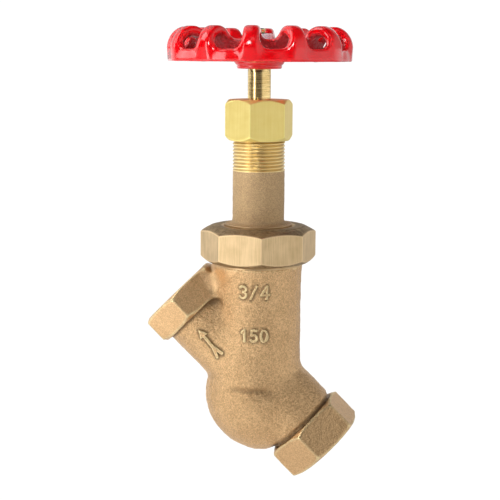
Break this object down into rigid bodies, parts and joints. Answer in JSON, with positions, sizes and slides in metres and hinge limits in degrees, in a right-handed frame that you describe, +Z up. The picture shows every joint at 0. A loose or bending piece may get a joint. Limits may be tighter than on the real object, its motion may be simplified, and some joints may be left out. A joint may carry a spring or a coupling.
{
  "type": "globe valve",
  "caption": "Angled-body bronze globe valve with threaded hexagon ends, union bonnet, screwed stem, packing nut and a ventilated red handwheel.",
  "frame": {"origin": "the point where the stem's axis crosses the common axis of the two ports", "axes": "+Z up the stem towards the handwheel; +X horizontal towards the lower (inlet) port's side; the port axis lies in the XZ plane, 45 degrees below +X"},
  "size_m": [0.0879, 0.0762, 0.1866],
  "materials": {
    "cast_bronze": "sand-cast, rough, light brown",
    "bonnet_bronze": "sand-cast neck with a machined thread",
    "union_bronze": "machined flats on a casting",
    "machined_bronze": "turned",
    "brass": "turned, bright",
    "packing_nut_brass": "drawn bar, bright",
    "stem_brass": "fine turned, polished",
    "red_enamel": "gloss enamel on cast iron",
    "zinc_plate": "bright zinc plate",
    "composition_disc": "moulded composition",
    "graphite_packing": "braided graphite"
  },
  "bodies": {
    "valve_body": {"body": "cast_bronze", "seat_ring": "machined_bronze", "bonnet": "bonnet_bronze", "union_ring_nut": "union_bronze", "packing_base_washer": "brass", "packing_ring_1": "graphite_packing", "packing_ring_2": "graphite_packing", "packing_ring_3": "graphite_packing", "packing_ring_4": "graphite_packing"},
    "disc": {"disc_holder": "machined_bronze", "disc_holder_nut": "brass", "seat_disc": "composition_disc", "disc_washer": "brass", "disc_nut": "brass"},
    "stem_and_wheel": {"stem": "stem_brass", "handwheel": "red_enamel", "wheel_washer": "zinc_plate", "wheel_nut": "zinc_plate"},
    "gland": {"packing_gland": "brass"},
    "packing_nut": {"packing_nut": "packing_nut_brass"}
  },
  "joints": [
    {"name": "disc_lift", "type": "slide", "parent": "valve_body", "child": "disc", "axis": [0, 0, 1], "range_m": [0, 0.00953]},
    {"name": "stem_turn", "type": "hinge", "parent": "disc", "child": "stem_and_wheel", "pos_m": [0, 0, 0.012], "axis": [0, 0, 1], "range_deg": [0, 1350]},
    {"name": "gland_slide", "type": "slide", "parent": "valve_body", "child": "gland", "axis": [0, 0, 1], "range_m": [0, 0.00495]},
    {"name": "packing_nut_turn", "type": "hinge", "parent": "gland", "child": "packing_nut", "pos_m": [0, 0, 0.0989], "axis": [0, 0, 1], "range_deg": [0, 1260]}
  ],
  "couplings": [
    {"joint": "disc_lift", "follows": "stem_turn", "m_per_rad": 0.00040425},
    {"joint": "gland_slide", "follows": "packing_nut_turn", "m_per_rad": 0.00022459}
  ]
}
